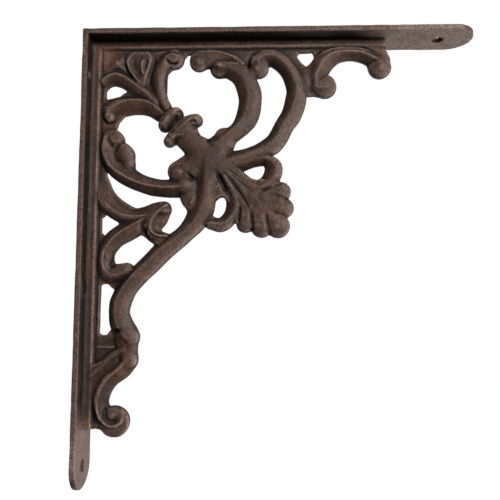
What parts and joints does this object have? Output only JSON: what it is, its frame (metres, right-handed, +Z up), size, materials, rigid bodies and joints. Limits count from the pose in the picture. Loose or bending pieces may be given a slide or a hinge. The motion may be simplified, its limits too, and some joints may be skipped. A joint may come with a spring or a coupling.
{
  "type": "ornate cast iron shelf bracket",
  "caption": "L-shaped cast iron shelf bracket with a pierced web of scrolls, leaves and a fan palmette, for carrying a shelf on a wall.",
  "frame": {"origin": "middle of the wall leg's flat back face", "axes": "+X out from the wall along the shelf leg, +Z up along the wall leg, Y across the legs' width; the picture shows the -Y side"},
  "size_m": [0.22, 0.026, 0.254],
  "materials": {
    "cast_iron": "rough sand-cast iron, dark brown with reddish rust, semi-gloss on the high spots"
  },
  "bodies": {
    "root": {"bracket": "cast_iron"}
  },
  "joints": []
}
